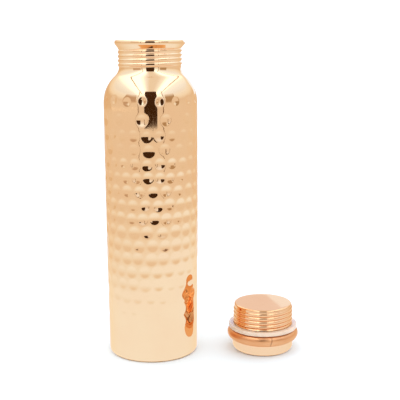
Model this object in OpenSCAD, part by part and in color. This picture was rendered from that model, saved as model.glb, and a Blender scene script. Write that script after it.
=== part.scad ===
// Hammered copper water bottle. Its screw cap is off and stands upside down beside it.
// Millimetres, +Z up. The origin is the centre of the bottle's flat base.

/* [Bottle body] */
// Widest outside diameter of the body
body_d = 73.6; // [70:0.2:84]
// Height from the base to the top of the lip
bottle_h = 250; // [200:1:300]
// How much narrower the foot is than the body's widest part, on the diameter
foot_taper = 1.2; // [0.4:0.2:3]
// Height of the body's widest part, as a share of the height where the shoulder starts
belly_share = 0.74; // [0.4:0.02:0.9]
// Outside radius of the edge between base and wall
foot_edge_r = 3; // [1.5:0.5:6]
// Outside radius of the round shoulder
shoulder_r = 28; // [20:1:30]
// Outside radius of the hollow between shoulder and neck
throat_r = 10; // [5:1:14]
// Thickness of the copper sheet
sheet = 0.6; // [0.5:0.05:0.7]

/* [Neck and thread] */
// Length of the neck from the throat to the top of the lip
neck_l = 20; // [19:0.5:26]
// Outside radius of the neck between the thread's ridges
neck_r = 24.2; // [23.6:0.1:24.6]
// How far the lip stands out from the neck
lip_reach = 3.2; // [2.8:0.1:3.8]
// Height of the lip's upright face
lip_face = 1.2; // [0.6:0.2:1.8]
// Rise of the screw thread in one turn
pitch = 3.3; // [3.1:0.1:3.8]
// Height of the thread's ridges
thread_h = 0.7; // [0.6:0.05:0.8]

/* [Cap] */
// Distance from the bottle's axis to the cap's axis
cap_x = 90; // [72:1:140]
// Outside radius of the cap's drum
drum_r = 24.9; // [24.6:0.1:25.6]
// Outside radius of the drum's edge
drum_edge_r = 4; // [2:0.5:5]
// Height of the joint between drum and plug
flange_z = 13.6; // [11.6:0.2:15]
// Height of the whole cap
cap_h = 38.4; // [36:0.2:44]
// Outside radius of the plug's rounded end
plug_edge_r = 1.4; // [1:0.1:2]
// Radius of the clamp ring's half-round section
bead_r = 4.5; // [4.3:0.1:4.8]
// How far the clamp ring stands out from the drum
bead_reach = 4.1; // [3.6:0.1:4.2]
// Width of the butt joint where the clamp ring's ends meet
seam_w = 0.3; // [0.2:0.1:1]
// Thickness of the silicone gasket
gasket_t = 3.3; // [2.5:0.1:3.6]
// Outside radius of the gasket
gasket_r = 27.9; // [26.5:0.1:28.2]

/* [Hidden] */
$fn = 96;
copper = [0.87, 0.55, 0.38];
pale_copper = [0.93, 0.66, 0.48];
silicone = [0.93, 0.9, 0.88];

// Shoulder and throat are two arcs that meet at one angle and end upright.
body_r = body_d / 2;
neck_z = bottle_h - neck_l;
ogee_a = acos(1 - (body_r - neck_r) / (shoulder_r + throat_r));
shoulder_c = [body_r - shoulder_r, neck_z - (shoulder_r + throat_r) * sin(ogee_a)];
throat_c = [neck_r + throat_r, neck_z];
neck_in = neck_r - sheet;

// Wall: a barrel arc from the foot up to the belly, and straight above it.
foot_r = body_r - foot_taper / 2;
belly_z = belly_share * shoulder_c[1];
barrel_rise = belly_z - foot_edge_r;
barrel_r = (pow(barrel_rise, 2) + pow(foot_taper / 2, 2)) / foot_taper;
barrel_c = [body_r - barrel_r, belly_z];
barrel_a = asin(barrel_rise / barrel_r);
foot_c = [foot_r - foot_edge_r, foot_edge_r];

// Lip: the neck flares out and is rolled into a round bead, with a smooth land inside it.
flare_a = 45;
flare_r = 1;
land_gap = 0.1;
mouth_r = neck_in + thread_h + land_gap;
lip_bead = (neck_r + lip_reach - mouth_r) / 2;
lip_c = [mouth_r + lip_bead, bottle_h - lip_bead];
flare_dx = flare_r * (1 - cos(flare_a));
lip_low_c = lip_c - [0, lip_face];
lip_end = lip_low_c + lip_bead * [cos(flare_a), -sin(flare_a)];
flare_top = lip_end[1] - (lip_end[0] - neck_r - flare_dx);
flare_c = [neck_r + flare_r, flare_top - flare_r * sin(flare_a)];
cone_start = 0.5;
cone_rise = 1.8;
cone_z = flare_c[1] + cone_start;
land_z = cone_z + cone_rise;

// Thread: the ridge outside and the groove inside share one helix. Each fills a share of the
// pitch at its root, which is sunk into the wall, and its flanks narrow it towards the crest.
flank = 0.86;
ridge_share = 0.96;
groove_share = 0.92;
ridge_sink = 0.3;
groove_sink = 0.4;
fade_sink = 0.15;
ridge_half = ridge_share * pitch / 2 - (thread_h + ridge_sink) * flank;
groove_half = groove_share * pitch / 2 - (thread_h + groove_sink) * flank;
thread_drop = 0.95;
thread_into_land = 1.1;
thread_z0 = neck_z - thread_drop;
thread_z1 = land_z + thread_into_land;
turn_steps = 36;
fade_steps = 12;

// Plug: its thread runs in the neck's groove with this much room.
thread_gap = 0.15;
plug_gap = 0.2;
side_gap = 0.09;
plug_r = neck_in - plug_gap;
plug_crest_r = neck_in + thread_h - thread_gap;
plug_half = groove_half - side_gap;

// Clamp ring: half-round outside, slotted inside for both flanges.
ring_gap = 0.05;
bead_c = [drum_r + bead_reach - bead_r, flange_z];
bead_top = flange_z + bead_r;
bead_a = acos((drum_r + ring_gap - bead_c[0]) / bead_r);
flange_reach = 2;
flange_r = drum_r + flange_reach;
ring_in = plug_r + plug_gap;
seam_a = -80;

// Gasket: it lies on the clamp ring, and the cap turns under it.
turn_gap = 0.1;
gasket_z = bead_top + turn_gap;
gasket_top = gasket_z + gasket_t;
gasket_in = ring_in;
gasket_edge = 0.7;

// The plug's thread comes up out of the gasket and ends clear of the plug's rounded end.
thread_below_gasket = 2.7;
thread_under_end = 0.9;
plug_thread_z0 = gasket_top - thread_below_gasket;
plug_thread_z1 = cap_h - plug_edge_r - thread_under_end;
over = 1;

function arc(c, r, a0, a1, n) = [for (i = [0:n]) let (a = a0 + (a1 - a0) * i / n) c + r * [cos(a), sin(a)]];

// Wall, shoulder and throat, from the foot up, moved in by t.
function bottle_side(t) = concat(
    arc(foot_c, foot_edge_r - t, -90, 0, 5),
    arc(barrel_c, barrel_r - t, -barrel_a, 0, 6),
    arc(shoulder_c, shoulder_r - t, 0, ogee_a, 10),
    arc(throat_c, throat_r + t, 180 + ogee_a, 180, 7)
);

// Outside of the bottle, from the base's centre up and back to the axis over the lip.
function bottle_outside() = concat(
    [[0, 0]],
    bottle_side(0),
    arc(flare_c, flare_r, 180, 180 - flare_a, 5),
    arc(lip_low_c, lip_bead, -flare_a, 0, 4),
    arc(lip_c, lip_bead, 0, 90, 6),
    [[0, bottle_h]]
);

// Hollow of the bottle, open at the mouth.
function bottle_inside() = concat(
    [[0, sheet]],
    bottle_side(sheet),
    [[neck_in, cone_z], [mouth_r, land_z]],
    arc(lip_c, lip_bead, 180, 90, 6),
    [[lip_c[0], bottle_h + over], [0, bottle_h + over]]
);

// One rib on a right-hand helix. Towards a faded end its crest sinks to r_sunk.
module helix_rib(r_root, r_crest, r_sunk, half_crest, z0, z1, fade_top) {
    n = ceil((z1 - z0) / pitch * turn_steps);
    half_root = half_crest + (r_crest - r_root) * flank;
    function rise(i) = min(1, i / fade_steps, fade_top ? (n - i) / fade_steps : 1);
    function crest(i) = r_sunk + (r_crest - r_sunk) * rise(i);
    function section(i) = [
        [r_root, -half_root], [crest(i), -half_crest], [crest(i), half_crest], [r_root, half_root]
    ];
    points = [
        for (i = [0:n], p = section(i))
            let (a = 360 * i / turn_steps)
            [p[0] * cos(a), p[0] * sin(a), z0 + pitch * i / turn_steps + p[1]]
    ];
    sides = [
        for (i = [0:n - 1], k = [0:3])
            let (a = 4 * i + k, b = 4 * i + (k + 1) % 4)
            each [[a, b, b + 4], [a, b + 4, a + 4]]
    ];
    last = 4 * n;
    ends = [[3, 2, 1], [3, 1, 0], [last, last + 1, last + 2], [last, last + 2, last + 3]];
    polyhedron(points = points, faces = concat(sides, ends), convexity = 10);
}

// Seamless shell: base, wall, shoulder, threaded neck and rolled lip in one piece.
module bottle_body() {
    color(copper) difference() {
        union() {
            rotate_extrude() polygon(bottle_outside());
            helix_rib(neck_r - ridge_sink, neck_r + thread_h, neck_r - fade_sink, ridge_half,
                thread_z0, thread_z1, false);
        }
        rotate_extrude() polygon(bottle_inside());
        helix_rib(neck_in - groove_sink, neck_in + thread_h, neck_in - fade_sink, groove_half,
            thread_z0, thread_z1, false);
    }
}

// Drawn cup that is the visible top of the cap. It stands on its closed end.
module cap_drum() {
    edge_c = [drum_r - drum_edge_r, drum_edge_r];
    outline = concat(
        [[0, 0]],
        arc(edge_c, drum_edge_r, -90, 0, 5),
        [[drum_r, flange_z - sheet], [flange_r, flange_z - sheet]],
        [[flange_r, flange_z], [drum_r - sheet, flange_z]],
        arc(edge_c, drum_edge_r - sheet, 0, -90, 5),
        [[0, sheet]]
    );
    color(pale_copper) translate([cap_x, 0, 0]) rotate_extrude() polygon(outline);
}

// Threaded cup that closes the neck. Its flange lies on the drum's flange.
module cap_plug() {
    edge_c = [plug_r - plug_edge_r, cap_h - plug_edge_r];
    outline = concat(
        [[plug_r - sheet, flange_z], [flange_r, flange_z], [flange_r, flange_z + sheet]],
        [[plug_r, flange_z + sheet]],
        arc(edge_c, plug_edge_r, 0, 90, 5),
        [[0, cap_h], [0, cap_h - sheet]],
        arc(edge_c, plug_edge_r - sheet, 90, 0, 5)
    );
    color(copper) translate([cap_x, 0, 0]) {
        rotate_extrude() polygon(outline);
        intersection() {
            helix_rib(plug_r - ridge_sink, plug_crest_r, plug_r - fade_sink, plug_half,
                plug_thread_z0, plug_thread_z1, true);
            translate([0, 0, gasket_top + turn_gap]) cylinder(r = plug_crest_r + over, h = cap_h);
        }
    }
}

// Half-round ring bent round both flanges, with its ends butted together at the front.
module clamp_ring() {
    slot_r = flange_r + ring_gap;
    outline = concat(
        arc(bead_c, bead_r, -bead_a, 90, 10),
        [[ring_in, bead_top], [ring_in, flange_z + sheet], [slot_r, flange_z + sheet]],
        [[slot_r, flange_z - sheet], [drum_r + ring_gap, flange_z - sheet]]
    );
    color(copper) translate([cap_x, 0, 0]) difference() {
        rotate_extrude() polygon(outline);
        rotate(seam_a) translate([ring_in - over, -seam_w / 2, 0])
            cube([bead_c[0] + bead_r - ring_in + 2 * over, seam_w, cap_h]);
    }
}

// Flat silicone washer that seals between the clamp ring and the bottle's lip.
module gasket() {
    edge_r = gasket_r - gasket_edge;
    outline = concat(
        [[gasket_in, gasket_z]],
        arc([edge_r, gasket_z + gasket_edge], gasket_edge, -90, 0, 4),
        arc([edge_r, gasket_top - gasket_edge], gasket_edge, 0, 90, 4),
        [[gasket_in, gasket_top]]
    );
    color(silicone) translate([cap_x, 0, 0]) rotate_extrude() polygon(outline);
}

bottle_body();
cap_drum();
cap_plug();
clamp_ring();
gasket();
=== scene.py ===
import math
import random

import bpy
import numpy as np
from mathutils import Matrix, Vector


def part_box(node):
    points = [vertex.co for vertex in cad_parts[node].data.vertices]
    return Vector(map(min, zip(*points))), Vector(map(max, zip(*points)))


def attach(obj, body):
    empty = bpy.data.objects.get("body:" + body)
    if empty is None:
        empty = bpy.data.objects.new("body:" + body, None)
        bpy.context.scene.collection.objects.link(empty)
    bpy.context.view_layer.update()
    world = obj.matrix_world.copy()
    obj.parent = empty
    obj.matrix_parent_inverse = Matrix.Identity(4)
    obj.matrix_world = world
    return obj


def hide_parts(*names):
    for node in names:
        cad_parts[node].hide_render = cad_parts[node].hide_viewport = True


# Hammered copper water bottle, with its screw cap upside down beside it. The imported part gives
# the sizes and places. The object's lengths are in millimetres, as in the part's source, and
# become metres where a mesh is made. The stage's lengths are in metres.

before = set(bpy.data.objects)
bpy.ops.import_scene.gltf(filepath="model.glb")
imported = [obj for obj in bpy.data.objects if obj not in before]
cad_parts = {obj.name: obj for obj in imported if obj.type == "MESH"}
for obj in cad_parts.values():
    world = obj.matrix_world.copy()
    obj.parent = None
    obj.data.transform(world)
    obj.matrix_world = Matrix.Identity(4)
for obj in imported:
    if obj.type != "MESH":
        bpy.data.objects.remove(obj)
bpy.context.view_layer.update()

MM = 0.001
TURN = 2 * math.pi

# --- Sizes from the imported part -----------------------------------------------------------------
BOTTLE_LOW, BOTTLE_HIGH = (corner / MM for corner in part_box("bottle_body"))
PLUG_LOW, PLUG_HIGH = (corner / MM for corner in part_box("cap_plug"))
RING_LOW, RING_HIGH = (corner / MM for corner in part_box("clamp_ring"))
GASKET_LOW, GASKET_HIGH = (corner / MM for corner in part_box("gasket"))
BOTTLE_H = BOTTLE_HIGH.z
BODY_R = BOTTLE_HIGH.x
CAP_X = (GASKET_LOW.x + GASKET_HIGH.x) / 2
CAP_H = PLUG_HIGH.z
FLANGE_Z = PLUG_LOW.z
GASKET_R = (GASKET_HIGH.x - GASKET_LOW.x) / 2
RING_R = (RING_HIGH.x - RING_LOW.x) / 2
RING_TOP = RING_HIGH.z

# --- Sizes that the boxes don't give, as in the part's source -----------------------------------
SHEET = 0.6
FOOT_TAPER = 1.2
FOOT_EDGE_R = 3.0
BELLY_SHARE = 0.74
SHOULDER_R = 28.0
THROAT_R = 10.0
NECK_R = 24.2
NECK_L = 20.0
LIP_REACH = 3.2
LIP_FACE = 1.2
LAND_GAP = 0.1
FLARE_R = 1.0
FLARE_A = 45.0
CONE_START = 0.5
CONE_RISE = 1.8
PITCH = 3.3
THREAD_H = 0.7
THREAD_DROP = 0.95
THREAD_INTO_LAND = 1.1
DRUM_R = 24.9
DRUM_EDGE_R = 4.0
PLUG_EDGE_R = 1.4
PLUG_R = 23.4
PLUG_CREST_R = 24.15
THREAD_BELOW_GASKET = 2.7
THREAD_UNDER_END = 0.9
BEAD_R = 4.5
RING_GAP = 0.05
FLANGE_R = 26.9
GASKET_IN = 23.6
GASKET_EDGE = 0.7
SEAM_ANGLE = math.radians(-80)

# --- Sizes that only the visual model has -------------------------------------------------------
# Angle on the lip's outer half where the flare runs into it
LIP_FROM_A = -54
LIP_POINTS = 24
GASKET_BEVEL = 0.3
SEAM_HALF_GAP = 0.2
SEAM_LEAN = 0.035
SEAM_JAG = 0.006
SEAM_FAR_JAG = 0.7
SEAM_WAVE_RISE = 2.1
SEAM_WAVE_OUT = 9
SHARP_ANGLE = 50

# --- Hammering ----------------------------------------------------------------------------------
SEED = 7
DENT_ROWS = 17
DENT_TOP_Z = 205.0
DENT_ROW_STEP = 10.5
DENT_TOP_SPREAD = 5.4
DENT_RIM = 0.16
DENT_STRAY = 0.5
DENT_REACH = 1.3
DENT_FADE = 0.06
# Rows of dents from the shoulder down. Each has the angle in degrees of its first dent from the
# front, how many go round, the least and most radius, and the least and most depth. They were
# chosen so that the front shows its dents where the real bottle does. The rows below the
# table repeat its last one, ever shallower and each turned by chance.
DENT_TABLE = (
    (-5.6, 18, 3.0, 3.5, 0.70, 0.90),
    (-7.5, 12, 4.6, 5.2, 0.70, 0.90),
    (-2.0, 23, 4.2, 4.9, 0.55, 0.70),
    (1.2, 19, 4.4, 4.9, 0.50, 0.65),
    (-1.6, 24, 4.0, 4.6, 0.70, 0.95),
    (-0.8, 26, 4.0, 4.7, 0.70, 0.95),
    (4.8, 22, 4.2, 4.8, 0.75, 0.95),
    (-4.8, 24, 4.0, 4.7, 0.75, 0.95),
    (6.4, 25, 4.2, 4.8, 0.70, 0.90),
    (-2.2, 21, 4.2, 4.8, 0.55, 0.75),
    (3.0, 23, 4.4, 5.0, 0.40, 0.55))
# Heights over which the hammering sets in above the foot and ends under the shoulder.
HAMMERING_STARTS = (8, 24)
HAMMERING_ENDS = (206, 214)

# --- Slight unevenness --------------------------------------------------------------------------
WALL_WAVES = 10
WALL_WAVE_COUNTS = (3, 5, 7, 9, 12, 16)
WALL_WAVE_SLANT = 0.12
WALL_WAVE_DEPTH = 0.05
DRUM_UNEVEN = 0.06
DRUM_UNEVEN_STARTS = (3, 8)
DRUM_UNEVEN_ENDS = (11, 13)
RING_WAVES = 14
RING_WAVE_COUNTS = (5, 40)
RING_WAVE_RISE = 0.4
RING_WORN = 0.16
GASKET_UNEVEN = 0.05


# --- Profiles -----------------------------------------------------------------------------------
# The last number of each run is the longest step between its points.
def arc(centre, radius, start, stop, step):
    """Points (r, z) on an arc between two angles in degrees, at most step apart."""
    count = max(2, math.ceil(abs(math.radians(stop - start)) * radius / step))
    turn = np.radians(np.linspace(start, stop, count + 1))
    return np.column_stack((centre[0] + radius * np.cos(turn), centre[1] + radius * np.sin(turn)))


def line(start, stop, step):
    """Points on a straight run, at most step apart."""
    count = max(1, math.ceil(math.dist(start, stop) / step))
    return np.linspace(start, stop, count + 1)


def chain(*runs):
    """Runs joined end to end, without the points that two runs share."""
    points = np.vstack(runs)
    apart = np.linalg.norm(np.diff(points, axis=0), axis=1) > 1e-6
    return points[np.concatenate(([True], apart))]


def smooth_max(a, b, blend):
    """The larger of two values, rounded over where they are within blend of each other."""
    near = np.maximum(blend - np.abs(a - b), 0) / blend
    return np.maximum(a, b) + near * near * blend / 4


def smooth_step(low, high, value):
    """0 below low, 1 above high, and an even curve between."""
    share = np.clip((value - low) / (high - low), 0, 1)
    return share * share * (3 - 2 * share)


# --- Mesh building ------------------------------------------------------------------------------
def revolve(name, profile, columns, shape, centre_x=0.0, closed=False):
    """Turns a profile round an upright axis. shape(angle, r, z) gives each point's own r and z."""
    angle = np.arange(columns) * TURN / columns
    turn, r = np.meshgrid(angle, profile[:, 0])
    z = np.meshgrid(angle, profile[:, 1])[1]
    r, z = shape(turn, r, z)
    rows = len(profile)
    points = np.stack((centre_x + r * np.cos(turn), r * np.sin(turn), z), axis=-1) * MM
    first, last = (0, rows) if closed else (1, rows - 1)
    vertices = points[first:last].reshape(-1, 3).tolist()
    count = last - first
    here = np.arange(columns)
    there = (here + 1) % columns
    faces = []
    for row in range(count if closed else count - 1):
        a = row * columns
        b = (row + 1) % count * columns
        faces += np.column_stack((a + here, a + there, b + there, b + here)).tolist()
    if not closed:
        bottom = len(vertices)
        vertices += [[centre_x * MM, 0, profile[0, 1] * MM], [centre_x * MM, 0, profile[-1, 1] * MM]]
        faces += [[bottom, int(t), int(h)] for h, t in zip(here, there)]
        end = (count - 1) * columns
        faces += [[end + int(h), end + int(t), bottom + 1] for h, t in zip(here, there)]
    return add_mesh(name, vertices, faces)


def add_mesh(name, vertices, faces):
    """A smooth-shaded object of these vertices and faces, whose sharp edges stay sharp."""
    mesh = bpy.data.meshes.new(name)
    mesh.from_pydata(vertices, [], faces)
    mesh.validate()
    mesh.shade_smooth()
    mesh.set_sharp_from_angle(angle=math.radians(SHARP_ANGLE))
    piece = bpy.data.objects.new(name, mesh)
    bpy.context.scene.collection.objects.link(piece)
    return piece


def install(piece, material, body, node):
    """Gives a piece its material and its body, and hides the CAD node that it stands for."""
    piece.data.materials.append(material)
    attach(piece, body)
    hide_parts(node)


# --- Screw thread -------------------------------------------------------------------------------
def ridge(angle, z, z_start, z_stop, fade_top):
    """Height of a right-hand rolled ridge, from 0 to 1: a broad crest and a narrow hollow."""
    crest_breadth = 1.8
    fade_turns = 0.33
    turns = (z - z_start) / PITCH
    whole = np.round(turns - angle / TURN)
    along = whole + angle / TURN
    off_crest = np.clip(np.abs(turns - along) * 2, 0, 1)
    height = 0.5 + 0.5 * np.cos(math.pi * off_crest ** crest_breadth)
    total = (z_stop - z_start) / PITCH
    height = height * smooth_step(0, fade_turns, along)
    if fade_top:
        height = height * smooth_step(0, fade_turns, total - along)
    return height


# --- Bottle -------------------------------------------------------------------------------------
NECK_Z = BOTTLE_H - NECK_L
NECK_IN = NECK_R - SHEET
OGEE = math.degrees(math.acos(1 - (BODY_R - NECK_R) / (SHOULDER_R + THROAT_R)))
SHOULDER_C = (BODY_R - SHOULDER_R, NECK_Z - (SHOULDER_R + THROAT_R) * math.sin(math.radians(OGEE)))
THROAT_C = (NECK_R + THROAT_R, NECK_Z)
FOOT_R = BODY_R - FOOT_TAPER / 2
FOOT_C = (FOOT_R - FOOT_EDGE_R, FOOT_EDGE_R)
BELLY_Z = BELLY_SHARE * SHOULDER_C[1]
BARREL_RISE = BELLY_Z - FOOT_EDGE_R
BARREL_R = (BARREL_RISE ** 2 + (FOOT_TAPER / 2) ** 2) / FOOT_TAPER
BARREL_C = (BODY_R - BARREL_R, BELLY_Z)
BARREL_A = math.degrees(math.asin(BARREL_RISE / BARREL_R))
MOUTH_R = NECK_IN + THREAD_H + LAND_GAP
LIP_R = (NECK_R + LIP_REACH - MOUTH_R) / 2
LIP_C = (MOUTH_R + LIP_R, BOTTLE_H - LIP_R)
LIP_LOW_C = (LIP_C[0], LIP_C[1] - LIP_FACE)
LIP_END = (LIP_LOW_C[0] + LIP_R * math.cos(math.radians(FLARE_A)),
           LIP_LOW_C[1] - LIP_R * math.sin(math.radians(FLARE_A)))
FLARE_DX = FLARE_R * (1 - math.cos(math.radians(FLARE_A)))
FLARE_TOP = LIP_END[1] - (LIP_END[0] - NECK_R - FLARE_DX)
FLARE_C = (NECK_R + FLARE_R, FLARE_TOP - FLARE_R * math.sin(math.radians(FLARE_A)))
CONE_Z = FLARE_C[1] + CONE_START
LAND_Z = CONE_Z + CONE_RISE
THREAD_Z0 = NECK_Z - THREAD_DROP
THREAD_Z1 = LAND_Z + THREAD_INTO_LAND


def bottle_side(inset, wall, bend):
    """Foot edge, wall, shoulder and throat, moved in by inset, with these steps along them."""
    return chain(
        arc(FOOT_C, FOOT_EDGE_R - inset, -90, 0, bend),
        arc(BARREL_C, BARREL_R - inset, -BARREL_A, 0, wall),
        line((BODY_R - inset, BELLY_Z), (BODY_R - inset, SHOULDER_C[1]), wall),
        arc(SHOULDER_C, SHOULDER_R - inset, 0, OGEE, bend * 1.4),
        arc(THROAT_C, THROAT_R + inset, 180 + OGEE, 180, bend * 0.7))


def oval_lip(start, stop):
    """The lip's outer half, slightly rounder than its upright face."""
    turn = np.radians(np.linspace(start, stop, LIP_POINTS))
    half_height = LIP_R + LIP_FACE / 2
    r = LIP_C[0] + LIP_R * np.cos(turn)
    return np.column_stack((r, LIP_C[1] - LIP_FACE / 2 + half_height * np.sin(turn)))


def bottle_profile():
    """The shell's outline, from the base's underside over the lip to the base's inside."""
    outside = chain(
        line((0, 0), (FOOT_C[0], 0), 5),
        bottle_side(0, 1.0, 0.85),
        line((NECK_R, NECK_Z), (NECK_R, FLARE_C[1]), 0.26),
        arc(FLARE_C, FLARE_R, 180, 180 - FLARE_A, 0.3),
        oval_lip(LIP_FROM_A, 90),
        arc(LIP_C, LIP_R, 90, 180, 0.35))
    inside = chain(
        line((0, SHEET), (FOOT_C[0], SHEET), 7),
        bottle_side(SHEET, 3.4, 2.0),
        line((NECK_IN, NECK_Z), (NECK_IN, CONE_Z), 0.4),
        line((NECK_IN, CONE_Z), (MOUTH_R, LAND_Z), 0.4),
        line((MOUTH_R, LAND_Z), (MOUTH_R, LIP_C[1]), 1.2))
    return chain(outside, inside[::-1]), len(outside)


def dent_field(angle, z):
    """How far the hammer has pressed the wall in at each point, in millimetres."""
    rng = random.Random(SEED)
    depth = np.zeros_like(z)
    for row in range(DENT_ROWS):
        row_z = DENT_TOP_Z - row * DENT_ROW_STEP - DENT_TOP_SPREAD * (1 - math.exp(-row))
        below = max(0, row - len(DENT_TABLE) + 1)
        first, count, small, large, shallow, deepest = DENT_TABLE[row - below]
        first += rng.uniform(0, 360 / count) * (below > 0)
        fade = 1 - DENT_FADE * below
        for place in range(count):
            at = math.radians(first - 90) + place * TURN / count
            at += rng.uniform(-DENT_STRAY, DENT_STRAY) / BODY_R
            up = row_z + rng.uniform(-DENT_STRAY, DENT_STRAY)
            radius = rng.uniform(small, large)
            deep = rng.uniform(shallow, deepest) * fade
            near = np.abs(z[:, 0] - up) < DENT_REACH * radius
            across = (angle[near] - at + math.pi) % TURN - math.pi
            far = (across * BODY_R) ** 2 + (z[near] - up) ** 2
            bowl = deep * (1 - far / radius ** 2)
            rounded = smooth_max(depth[near], bowl, DENT_RIM) - DENT_RIM / 4 * (bowl > -DENT_RIM)
            depth[near] = np.maximum(rounded, 0)
    return depth


def wall_waves(angle, z):
    """The slight unevenness that hammering leaves between the dents, never proud of the wall."""
    rng = random.Random(SEED + 1)
    height = np.zeros_like(z)
    for wave in range(WALL_WAVES):
        around = rng.choice(WALL_WAVE_COUNTS)
        upward = rng.uniform(-WALL_WAVE_SLANT, WALL_WAVE_SLANT)
        height += np.cos(around * angle + upward * z + rng.uniform(0, TURN)) / WALL_WAVES
    return WALL_WAVE_DEPTH * (1 - height)


def bottle_shape(outside_rows):
    """Dents in the wall and rolled ridges on the neck, alike outside and inside."""
    def shape(angle, r, z):
        outer = np.arange(len(z))[:, None] < outside_rows
        above_foot = smooth_step(*HAMMERING_STARTS, z)
        wall = above_foot * (1 - smooth_step(*HAMMERING_ENDS, z)) * (r > FOOT_C[0])
        dented = r - (dent_field(angle, z) + wall_waves(angle, z)) * wall
        share = ridge(angle, z, THREAD_Z0, THREAD_Z1, False)
        threaded = np.maximum(r, np.where(outer, NECK_R, NECK_IN) + THREAD_H * share)
        in_neck = (z > THREAD_Z0 - PITCH / 2) & (z < THREAD_Z1)
        return np.where(in_neck, threaded, dented), z
    return shape


# --- Materials ----------------------------------------------------------------------------------
class Nodes:
    """A material's node tree, built from the shader outwards."""

    def __init__(self, name):
        self.material = bpy.data.materials.new(name)
        self.material.use_nodes = True
        self.tree = self.material.node_tree
        self.shader = self.tree.nodes["Principled BSDF"]
        self.place = self.add("ShaderNodeTexCoord").outputs["Object"]

    def add(self, kind, inputs=None, **settings):
        """A new node with these inputs and settings."""
        node = self.tree.nodes.new(kind)
        for key, value in settings.items():
            setattr(node, key, value)
        for key, value in (inputs or {}).items():
            self.feed(node.inputs[key], value)
        return node

    def feed(self, socket, value):
        """Links a socket, or sets it if the value is a plain one."""
        if isinstance(value, bpy.types.NodeSocket):
            self.tree.links.new(value, socket)
        else:
            socket.default_value = value

    def stretched(self, scale):
        """The object's coordinates, with a scale for each axis."""
        return self.add("ShaderNodeMapping", {"Vector": self.place, "Scale": scale}).outputs["Vector"]

    def noise(self, scale, detail=2.0, vector=None):
        """Soft noise from 0 to 1."""
        node = self.add("ShaderNodeTexNoise", {
            "Vector": vector or self.place, "Scale": scale, "Detail": detail})
        return node.outputs["Fac"]

    def span(self, value, low, high, start=0.3, stop=0.7):
        """value from start to stop, turned into low to high."""
        node = self.add("ShaderNodeMapRange", {
            "Value": value, "From Min": start, "From Max": stop, "To Min": low, "To Max": high})
        return node.outputs["Result"]

    def blend(self, share, first, second):
        """A colour between two, the second one where share is 1."""
        node = self.add("ShaderNodeMix", data_type="RGBA")
        self.feed(node.inputs["Factor"], share)
        self.feed(node.inputs["A"], first)
        self.feed(node.inputs["B"], second)
        return node.outputs["Result"]

    def bump(self, height, distance):
        """A normal for a surface that this height raises by up to distance, in metres."""
        inputs = {"Height": height, "Distance": distance, "Strength": 1.0}
        return self.add("ShaderNodeBump", inputs).outputs["Normal"]


# Each copper's own colour and the rosier one in its patches, then what copper seen edge-on keeps.
BODY_COPPER = ((0.92, 0.545, 0.27), (0.90, 0.48, 0.23))
DRUM_COPPER = ((0.90, 0.49, 0.235), (0.88, 0.44, 0.20))
PLUG_COPPER = ((0.87, 0.42, 0.18), (0.83, 0.36, 0.14))
RING_COPPER = ((0.82, 0.35, 0.135), (0.72, 0.26, 0.085))
EDGE_TINT = (1.0, 0.80, 0.60)
SILICONE_COLOURS = ((0.64, 0.48, 0.35), (0.73, 0.57, 0.43))
# The polishing marks' scale along each axis: small along the way they run.
MARKS_UPRIGHT = (1, 1, 0.03)
MARKS_AROUND = (0.05, 0.05, 1)
MARKS_SCALE = 900
MARKS_DEPTH = 0.000004
PATCH_SCALE = 38
CLOUD_SCALE = 160
GRAIN_SCALE = 1400
GRAIN_DEPTH = 0.00002


def copper(name, colours, rough, marks, tarnish=0.35):
    """Polished copper: slow changes of colour, uneven polish, and fine polishing marks."""
    n = Nodes(name)
    base, rosy = colours
    patches = n.noise(PATCH_SCALE, 3)
    streaks = n.noise(MARKS_SCALE, 2, n.stretched(marks))
    colour = n.blend(n.span(patches, 0, tarnish), (*base, 1), (*rosy, 1))
    n.feed(n.shader.inputs["Base Color"], colour)
    n.feed(n.shader.inputs["Roughness"], n.span(streaks, rough * 0.75, rough * 1.3))
    n.shader.inputs["Metallic"].default_value = 1.0
    n.shader.inputs["Specular Tint"].default_value = (*EDGE_TINT, 1)
    n.feed(n.shader.inputs["Normal"], n.bump(streaks, MARKS_DEPTH))
    return n.material


def silicone(name):
    """Pale soft silicone with a faint milky glow."""
    n = Nodes(name)
    dark, pale = SILICONE_COLOURS
    clouds = n.noise(CLOUD_SCALE, 3)
    colour = n.blend(n.span(clouds, 0, 1), (*dark, 1), (*pale, 1))
    n.feed(n.shader.inputs["Base Color"], colour)
    n.feed(n.shader.inputs["Roughness"], n.span(clouds, 0.38, 0.5))
    n.shader.inputs["Subsurface Weight"].default_value = 0.3
    n.shader.inputs["Subsurface Radius"].default_value = (0.004, 0.003, 0.0025)
    n.shader.inputs["Subsurface Scale"].default_value = 0.5
    n.feed(n.shader.inputs["Normal"], n.bump(n.noise(GRAIN_SCALE, 2), GRAIN_DEPTH))
    return n.material


def plain(name, colour, rough):
    """A plain surface for the floor."""
    n = Nodes(name)
    n.shader.inputs["Base Color"].default_value = (*colour, 1)
    n.shader.inputs["Roughness"].default_value = rough
    n.shader.inputs["Specular IOR Level"].default_value = 0.0
    return n.material


# --- Pieces -------------------------------------------------------------------------------------
def make_bottle(material):
    """Hammered shell with its threaded neck and rolled lip, inside and out."""
    profile, outside_rows = bottle_profile()
    piece = revolve("hammered_shell", profile, 232, bottle_shape(outside_rows))
    install(piece, material, "bottle", "bottle_body")


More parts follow.
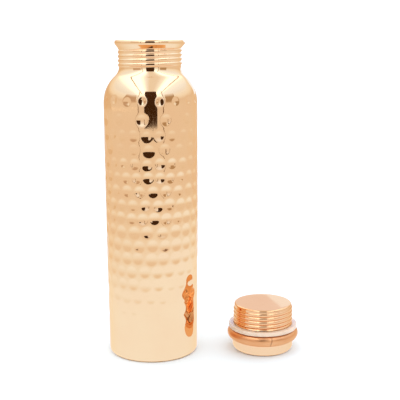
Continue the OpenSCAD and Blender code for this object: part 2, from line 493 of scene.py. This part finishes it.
def make_drum(material):
    """Spun cup that is the cap's top. It stands on its closed end."""
    edge = (DRUM_R - DRUM_EDGE_R, DRUM_EDGE_R)
    profile = chain(
        line((0, 0), (edge[0], 0), 4),
        arc(edge, DRUM_EDGE_R, -90, 0, 0.3),
        line((DRUM_R, DRUM_EDGE_R), (DRUM_R, FLANGE_Z - SHEET), 0.8),
        line((DRUM_R, FLANGE_Z - SHEET), (FLANGE_R, FLANGE_Z - SHEET), 1),
        line((FLANGE_R, FLANGE_Z - SHEET), (FLANGE_R, FLANGE_Z), 1),
        line((FLANGE_R, FLANGE_Z), (DRUM_R - SHEET, FLANGE_Z), 1),
        line((DRUM_R - SHEET, FLANGE_Z), (DRUM_R - SHEET, DRUM_EDGE_R), 2),
        arc(edge, DRUM_EDGE_R - SHEET, 0, -90, 0.5),
        line((edge[0], SHEET), (0, SHEET), 6))

    def spun(angle, r, z):
        soft = DRUM_UNEVEN * smooth_step(*DRUM_UNEVEN_STARTS, z)
        soft = soft * (1 - smooth_step(*DRUM_UNEVEN_ENDS, z))
        return r - soft * (0.5 + 0.25 * np.cos(3 * angle + 1) + 0.25 * np.cos(5 * angle + 2)), z

    piece = revolve("cap_drum_spun", profile, 160, spun, CAP_X)
    install(piece, material, "cap", "cap_drum")


def make_plug(material):
    """Cup with the rolled thread that goes into the neck."""
    edge = (PLUG_R - PLUG_EDGE_R, CAP_H - PLUG_EDGE_R)
    thread_z0 = GASKET_HIGH.z - THREAD_BELOW_GASKET
    thread_z1 = CAP_H - PLUG_EDGE_R - THREAD_UNDER_END
    wall_from_r = PLUG_R - 0.1
    wall_to_z = edge[1] + 0.01
    profile = chain(
        line((0, CAP_H - SHEET), (edge[0], CAP_H - SHEET), 6),
        arc(edge, PLUG_EDGE_R - SHEET, 90, 0, 0.4),
        line((PLUG_R - SHEET, edge[1]), (PLUG_R - SHEET, FLANGE_Z), 2),
        line((PLUG_R - SHEET, FLANGE_Z), (FLANGE_R, FLANGE_Z), 1),
        line((FLANGE_R, FLANGE_Z), (FLANGE_R, FLANGE_Z + SHEET), 1),
        line((FLANGE_R, FLANGE_Z + SHEET), (PLUG_R, FLANGE_Z + SHEET), 1),
        line((PLUG_R, FLANGE_Z + SHEET), (PLUG_R, GASKET_HIGH.z), 1),
        line((PLUG_R, GASKET_HIGH.z), (PLUG_R, edge[1]), 0.22),
        arc(edge, PLUG_EDGE_R, 0, 90, 0.15),
        line((edge[0], CAP_H), (0, CAP_H), 2))

    def threaded(angle, r, z):
        share = ridge(angle, z, thread_z0, thread_z1, True)
        on_wall = (r > wall_from_r) & (z > GASKET_HIGH.z) & (z <= wall_to_z)
        return np.where(on_wall, PLUG_R + (PLUG_CREST_R - PLUG_R) * share, r), z

    piece = revolve("cap_plug_threaded", profile, 192, threaded, CAP_X)
    install(piece, material, "cap", "cap_plug")


def make_ring(material):
    """Half-round ring with a crooked butt joint and a slightly hand-worked surface."""
    centre = (RING_R - BEAD_R, RING_TOP - BEAD_R)
    inner_r = DRUM_R + RING_GAP
    slot_r = FLANGE_R + RING_GAP
    slot_low = FLANGE_Z - SHEET - RING_GAP
    slot_high = FLANGE_Z + SHEET + RING_GAP
    meet = math.degrees(math.acos((inner_r - centre[0]) / BEAD_R))
    profile = chain(
        arc(centre, BEAD_R, -meet, 90, 0.3),
        line((centre[0], RING_TOP), (NECK_IN, RING_TOP), 0.8),
        line((NECK_IN, RING_TOP), (NECK_IN, slot_high), 1),
        line((NECK_IN, slot_high), (slot_r, slot_high), 1),
        line((slot_r, slot_high), (slot_r, slot_low), 1),
        line((slot_r, slot_low), (inner_r, slot_low), 1))
    rng = random.Random(SEED + 2)
    waves = [(rng.randint(*RING_WAVE_COUNTS), rng.uniform(0, TURN), rng.uniform(-1, 1))
             for wave in range(RING_WAVES)]
    bead_from_r = DRUM_R + 0.5
    bead_to_z = RING_TOP - 0.2
    columns = 260
    half_gap = SEAM_HALF_GAP / RING_R
    rows = len(profile)
    vertices = []
    for column in range(columns + 1):
        share = column / columns
        for r, z in profile:
            lean = SEAM_LEAN * (z - centre[1]) / BEAD_R
            jag = SEAM_JAG * math.sin(SEAM_WAVE_RISE * z + SEAM_WAVE_OUT * r)
            start = SEAM_ANGLE + half_gap + (lean + jag)
            stop = SEAM_ANGLE + TURN - half_gap + (lean + SEAM_FAR_JAG * jag)
            angle = start + (stop - start) * share
            uneven = sum(size * math.cos(count * angle + phase + RING_WAVE_RISE * z)
                         for count, phase, size in waves) / len(waves)
            on_bead = (r > bead_from_r) and (z < bead_to_z)
            out = r - RING_WORN * (0.5 + 0.5 * uneven) * on_bead
            x = CAP_X * MM + out * math.cos(angle) * MM
            vertices.append((x, out * math.sin(angle) * MM, z * MM))
    faces = []
    for column in range(columns):
        a = column * rows
        b = (column + 1) * rows
        faces += [(a + i, b + i, b + (i + 1) % rows, a + (i + 1) % rows) for i in range(rows)]
    faces.append(tuple(range(rows)))
    faces.append(tuple(columns * rows + i for i in reversed(range(rows))))
    piece = add_mesh("clamp_ring_bent", vertices, faces)
    install(piece, material, "cap", "clamp_ring")


def make_gasket(material):
    """Flat moulded washer with rounded outer edges."""
    top = GASKET_HIGH.z
    bottom = GASKET_LOW.z
    edge = GASKET_R - GASKET_EDGE
    profile = chain(
        line((GASKET_IN, bottom), (edge, bottom), 0.8),
        arc((edge, bottom + GASKET_EDGE), GASKET_EDGE, -90, 0, 0.15),
        line((GASKET_R, bottom + GASKET_EDGE), (GASKET_R, top - GASKET_EDGE), 0.3),
        arc((edge, top - GASKET_EDGE), GASKET_EDGE, 0, 90, 0.15),
        line((edge, top), (GASKET_IN + GASKET_BEVEL, top), 0.8),
        line((GASKET_IN + GASKET_BEVEL, top), (GASKET_IN, top - GASKET_BEVEL), 0.2),
        line((GASKET_IN, top - GASKET_BEVEL), (GASKET_IN, bottom + GASKET_BEVEL), 0.8))

    def moulded(angle, r, z):
        outside = smooth_step(edge, GASKET_R, r)
        soft = GASKET_UNEVEN * (1 + 0.5 * np.cos(4 * angle) + 0.5 * np.cos(7 * angle + 2))
        return r - outside * soft, z

    piece = revolve("gasket_moulded", profile, 160, moulded, CAP_X, closed=True)
    install(piece, material, "seal", "gasket")


# --- Stage, light and camera --------------------------------------------------------------------
# The cards' colours are written as pale copper would show them. The light itself is bluer by this
# tint, as the copper is redder by as much, so that copper seen in copper turns orange.
LIGHT_TINT = (1.0, 1.25, 1.67)
EYE_Z = 0.2
TENT_R = 2.6
ROOF_H = 1.3
BEAM_HALF_W = 0.022
BEAM_DROP = 0.01
POST_R = 0.95
FRONT_R = 2.2
BACK_R = 2.5
OPENING_R = 0.66
OVER_FLOOR = 0.001
COLUMN_SPAN = 5
WARM = (0.89, 0.77, 0.64)
DIM = (0.24, 0.14, 0.08)
FLOOR_HALF = 4.0
FLOOR_COLOUR = (0.81, 0.875, 0.925)
DAYLIGHT = 1.5
CAMERA_AT = (0.03856, -0.64459, 0.24767)
CAMERA_TILT = 10.878
CAMERA_ROLL = -0.136
CAMERA_LENS = 73.67


def peak_and_share(colour, peak=None):
    """A card's light with the tint: its strongest channel, and each channel as a share of it."""
    tinted = [channel * tint for channel, tint in zip(colour, LIGHT_TINT)]
    peak = peak or max(tinted)
    return peak, [channel / peak for channel in tinted]


def emitter(name, strength):
    """A material that only gives light, its node tree and the socket for its colour."""
    material = bpy.data.materials.new(name)
    material.use_nodes = True
    tree = material.node_tree
    tree.nodes.clear()
    light = tree.nodes.new("ShaderNodeEmission")
    light.inputs["Strength"].default_value = strength
    out = tree.nodes.new("ShaderNodeOutputMaterial")
    tree.links.new(light.outputs["Emission"], out.inputs["Surface"])
    return material, tree, light.inputs["Color"]


def glow(name, colour):
    """Even light."""
    peak, share = peak_and_share(colour)
    material, tree, colour_socket = emitter(name, peak)
    colour_socket.default_value = (*share, 1)
    return material


def ramp_glow(name, measure, stops):
    """Light whose colour follows a measure of the card's place: X, Z or the distance from 0."""
    low = stops[0][0]
    high = stops[-1][0]
    peak = max(peak_and_share(colour)[0] for value_at, colour in stops)
    material, tree, colour_socket = emitter(name, peak)
    place = tree.nodes.new("ShaderNodeTexCoord").outputs["Object"]
    if measure == "far":
        node = tree.nodes.new("ShaderNodeVectorMath")
        node.operation = "LENGTH"
        tree.links.new(place, node.inputs[0])
        value = node.outputs["Value"]
    else:
        node = tree.nodes.new("ShaderNodeSeparateXYZ")
        tree.links.new(place, node.inputs[0])
        value = node.outputs[measure]
    span = tree.nodes.new("ShaderNodeMapRange")
    span.inputs["From Min"].default_value = low
    span.inputs["From Max"].default_value = high
    tree.links.new(value, span.inputs["Value"])
    ramp = tree.nodes.new("ShaderNodeValToRGB")
    tree.links.new(span.outputs["Result"], ramp.inputs["Fac"])
    points = ramp.color_ramp.elements
    for index, (at, colour) in enumerate(stops):
        share = (at - low) / (high - low)
        point = points[index] if index < 2 else points.new(share)
        point.position = share
        point.color = (*peak_and_share(colour, peak)[1], 1)
    tree.links.new(ramp.outputs["Color"], colour_socket)
    return material


def link_flat(name, vertices, faces, material):
    """A flat-shaded object of these vertices and faces, in metres."""
    mesh = bpy.data.meshes.new(name)
    mesh.from_pydata(vertices, [], faces)
    mesh.materials.append(material)
    flat = bpy.data.objects.new(name, mesh)
    bpy.context.scene.collection.objects.link(flat)
    return flat


def reflected_only(name, vertices, faces, material):
    """A card that reflections show and that gives the floor neither light nor shade."""
    card = link_flat(name, vertices, faces, material)
    card.visible_camera = False
    card.visible_diffuse = False
    card.visible_shadow = False
    card.visible_transmission = False
    return card


def height_at(elevation, distance):
    """Height of what the copper shows at this elevation and distance, kept above the floor."""
    return max(OVER_FLOOR, EYE_Z + distance * math.tan(math.radians(elevation)))


def wall_card(name, azimuths, distance, stops):
    """An upright curved card. Azimuth 0 is in front; the stops go by elevation in degrees."""
    low, high = (math.radians(a) for a in azimuths)
    by_height = [(height_at(elevation, distance), colour) for elevation, colour in stops]
    columns = max(2, round(math.degrees(high - low) / COLUMN_SPAN))
    vertices = []
    faces = []
    for column in range(columns + 1):
        turn = low + (high - low) * column / columns
        x = distance * math.sin(turn)
        y = -distance * math.cos(turn)
        vertices += [(x, y, by_height[0][0]), (x, y, by_height[-1][0])]
    for column in range(columns):
        a = 2 * column
        faces.append((a, a + 2, a + 3, a + 1))
    reflected_only(name, vertices, faces, ramp_glow(name, "Z", by_height))


def flat_card(name, corners, material):
    """A card of one face."""
    reflected_only(name, corners, [tuple(range(len(corners)))], material)


def level_card(name, x, y, z, material):
    """A level card between two x and two y."""
    flat_card(name, [(x[0], y[0], z), (x[1], y[0], z), (x[1], y[1], z), (x[0], y[1], z)], material)


def ring_card(name, middle_x, radii, material):
    """A level ring just over the floor."""
    columns = 72
    vertices = []
    faces = []
    for column in range(columns):
        turn = TURN * column / columns
        x = math.cos(turn)
        y = math.sin(turn)
        vertices += [(radius * x, radius * y, OVER_FLOOR) for radius in radii]
    for column in range(columns):
        a = 2 * column
        b = 2 * ((column + 1) % columns)
        faces.append((a, a + 1, b + 1, b))
    card = reflected_only(name, vertices, faces, material)
    card.location.x = middle_x


def make_reflected_floor():
    """The floor as the copper shows it: white near by, then taking up the tent's warm colour."""
    stops = [(0.24, (1.02, 1.07, 1.10)), (0.30, (0.98, 1.00, 0.98)), (0.37, (0.97, 0.95, 0.90)),
             (0.44, (0.95, 0.90, 0.81)), (0.54, (0.93, 0.85, 0.74)), (0.64, (0.91, 0.81, 0.69)),
             (0.78, (0.89, 0.78, 0.66)), (1.10, WARM), (TENT_R, WARM)]
    shift = 0.07
    smallest_r = 0.001
    ring_card("near_floor", shift, (smallest_r, stops[0][0]), glow("near_floor", stops[0][1]))
    ring_card("far_floor", shift, (stops[0][0], TENT_R), ramp_glow("far_floor", "far", stops))


def make_roof():
    """The tent's roof, with two bright bands that run from front to back beside a dimmer one."""
    stops = [(-2.0, (0.97, 1.02, 1.08)), (-1.5, (1.00, 1.09, 1.17)), (-1.13, (1.08, 1.22, 1.34)),
             (-0.92, (1.60, 1.65, 1.75)), (-0.75, (1.90, 1.90, 1.90)), (-0.30, (2.05, 2.05, 2.05)),
             (-0.12, (1.05, 1.13, 1.22)), (0.0, (0.93, 0.88, 0.78)), (0.22, (0.93, 0.88, 0.80)),
             (0.40, (1.10, 1.18, 1.22)), (0.55, (2.05, 2.05, 2.05)), (0.75, (1.90, 1.90, 1.90)),
             (0.96, (1.20, 1.32, 1.45)), (1.3, (1.04, 1.18, 1.34)), (2.0, (0.98, 1.02, 1.08))]
    scaled = [(share * ROOF_H, colour) for share, colour in stops]
    roof_z = EYE_Z + ROOF_H
    level_card("roof", (-TENT_R, TENT_R), (-TENT_R, TENT_R), roof_z, ramp_glow("roof", "X", scaled))
    beam = glow("beam", DIM)
    for name, share in (("beam_left", -0.556), ("beam_right", 0.77)):
        middle = share * ROOF_H
        across = (middle - BEAM_HALF_W, middle + BEAM_HALF_W)
        level_card(name, across, (-TENT_R, TENT_R), roof_z - BEAM_DROP, beam)


def make_walls():
    """Warm walls, brown towards the front, with a dark opening where the camera stands."""
    wall = [(-12, WARM), (5, (0.88, 0.76, 0.62)), (10, (0.86, 0.73, 0.59)), (17, (1.0, 0.98, 0.9)),
            (27, (1.03, 1.1, 1.15))]
    beside = [(-12, (0.84, 0.72, 0.60)), (0, (0.88, 0.78, 0.68)), (12, (0.98, 0.98, 1.00)),
              (25, (1.40, 1.55, 1.60)), (38, (1.95, 1.95, 1.95))]
    left_back = [(-12, (0.82, 0.66, 0.49)), (10, (0.82, 0.66, 0.49)), (17, (1.0, 0.96, 0.86))]
    brown_left = [(4, (0.85, 0.70, 0.55)), (9, (0.60, 0.43, 0.30)), (20, (0.62, 0.45, 0.32)),
                  (27, (1.0, 1.0, 1.0))]
    brown_right = [(3, (0.85, 0.70, 0.55)), (8, (0.48, 0.32, 0.18)), (20, (0.50, 0.35, 0.21)),
                   (28, (1.0, 1.0, 1.0))]
    dim = [(-20, DIM), (40, DIM)]
    dark = [(-6.7, (0.05, 0.02, 0.005)), (37, (0.06, 0.025, 0.01)), (39, (0.3, 0.2, 0.15))]
    wall_card("wall", (-180, 180), TENT_R, wall)
    wall_card("wall_left_back", (-165, -105), BACK_R, left_back)
    wall_card("beside_left", (-26, -11.5), FRONT_R, beside)
    wall_card("beside_right", (19, 33.9), FRONT_R, beside)
    wall_card("brown_left", (-62, -32), FRONT_R, brown_left)
    wall_card("brown_right", (40, 66), FRONT_R, brown_right)
    wall_card("post_left", (-26.6, -25.0), POST_R, dim)
    wall_card("post_right", (32.7, 34.4), POST_R, dim)
    wall_card("camera_opening", (-11.5, 19), OPENING_R, dark)
    sheet = [(-0.5, 2.0, 0.35), (-0.1, 2.0, 0.35), (0.6, 2.0, 0.957), (0.6, 2.0, 1.3), (-0.5, 2.0, 1.3)]
    flat_card("sheet_behind", sheet, glow("sheet_behind", (0.98, 1.05, 1.32)))
    pale = [(-0.1, 2.01, 0.3), (1.3, 2.01, 0.3), (1.3, 2.01, 1.0), (-0.1, 2.01, 1.0)]
    flat_card("pale_behind", pale, glow("pale_behind", (1.08, 1.36, 1.85)))


def make_floor():
    """A plain pale floor. Its colour makes up for the warm light that the copper throws on it."""
    low = -FLOOR_HALF
    high = FLOOR_HALF
    corners = [(low, low, 0), (high, low, 0), (high, high, 0), (low, high, 0)]
    floor = link_flat("floor", corners, [(0, 1, 2, 3)], plain("floor_white", FLOOR_COLOUR, 0.6))


def make_daylight():
    """Even white light from all sides, which the floor and the silicone take up."""
    world = bpy.data.worlds.new("studio")
    world.use_nodes = True
    background = world.node_tree.nodes["Background"]
    background.inputs["Color"].default_value = (1.0, 1.0, 1.0, 1)
    background.inputs["Strength"].default_value = DAYLIGHT
    bpy.context.scene.world = world


def make_camera():
    """The photo's camera, as fitted to the outlines of bottle and cap."""
    camera = bpy.data.objects.new("camera", bpy.data.cameras.new("camera"))
    camera.data.lens = CAMERA_LENS
    camera.data.sensor_width = 36.0
    camera.data.clip_start = 0.01
    tilt = Matrix.Rotation(math.radians(90 - CAMERA_TILT), 4, "X")
    roll = Matrix.Rotation(math.radians(CAMERA_ROLL), 4, "Z")
    camera.matrix_world = Matrix.Translation(Vector(CAMERA_AT)) @ tilt @ roll
    bpy.context.scene.collection.objects.link(camera)
    bpy.context.scene.camera = camera


def main():
    """The five pieces and then the stage. Each copper has its colours, roughness and marks."""
    bpy.context.scene.view_settings.view_transform = "Standard"
    make_bottle(copper("hammered_copper", BODY_COPPER, 0.055, MARKS_UPRIGHT))
    make_drum(copper("drum_copper", DRUM_COPPER, 0.10, MARKS_AROUND))
    make_plug(copper("plug_copper", PLUG_COPPER, 0.03, MARKS_AROUND))
    make_ring(copper("ring_copper", RING_COPPER, 0.34, MARKS_AROUND, tarnish=0.8))
    make_gasket(silicone("gasket_silicone"))
    make_floor()
    make_reflected_floor()
    make_walls()
    make_roof()
    make_daylight()
    make_camera()


main()
